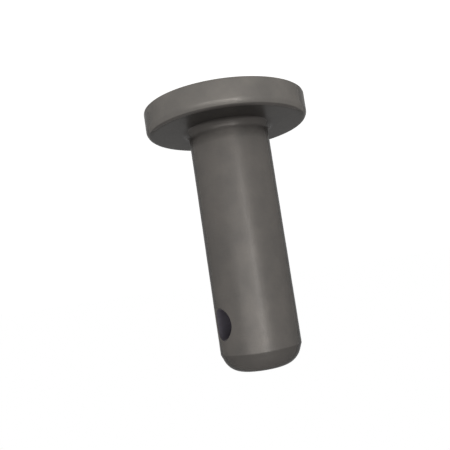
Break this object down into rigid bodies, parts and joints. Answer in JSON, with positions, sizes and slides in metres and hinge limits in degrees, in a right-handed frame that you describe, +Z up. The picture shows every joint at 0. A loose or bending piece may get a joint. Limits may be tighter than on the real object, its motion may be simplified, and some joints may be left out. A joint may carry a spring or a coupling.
{
  "type": "clevis pin",
  "caption": "Headed steel clevis pin with a flat round head, a plain shank, a bevelled point and a cross hole for a split pin.",
  "frame": {"origin": "centre of the head's outer face, which the pin stands on", "axes": "+Z up the shank from the head to the point; X along the split pin hole"},
  "size_m": [0.0324, 0.0324, 0.0526],
  "materials": {
    "dark_steel": "satin, darkened and oiled"
  },
  "bodies": {
    "root": {"clevis_pin": "dark_steel"}
  },
  "joints": []
}
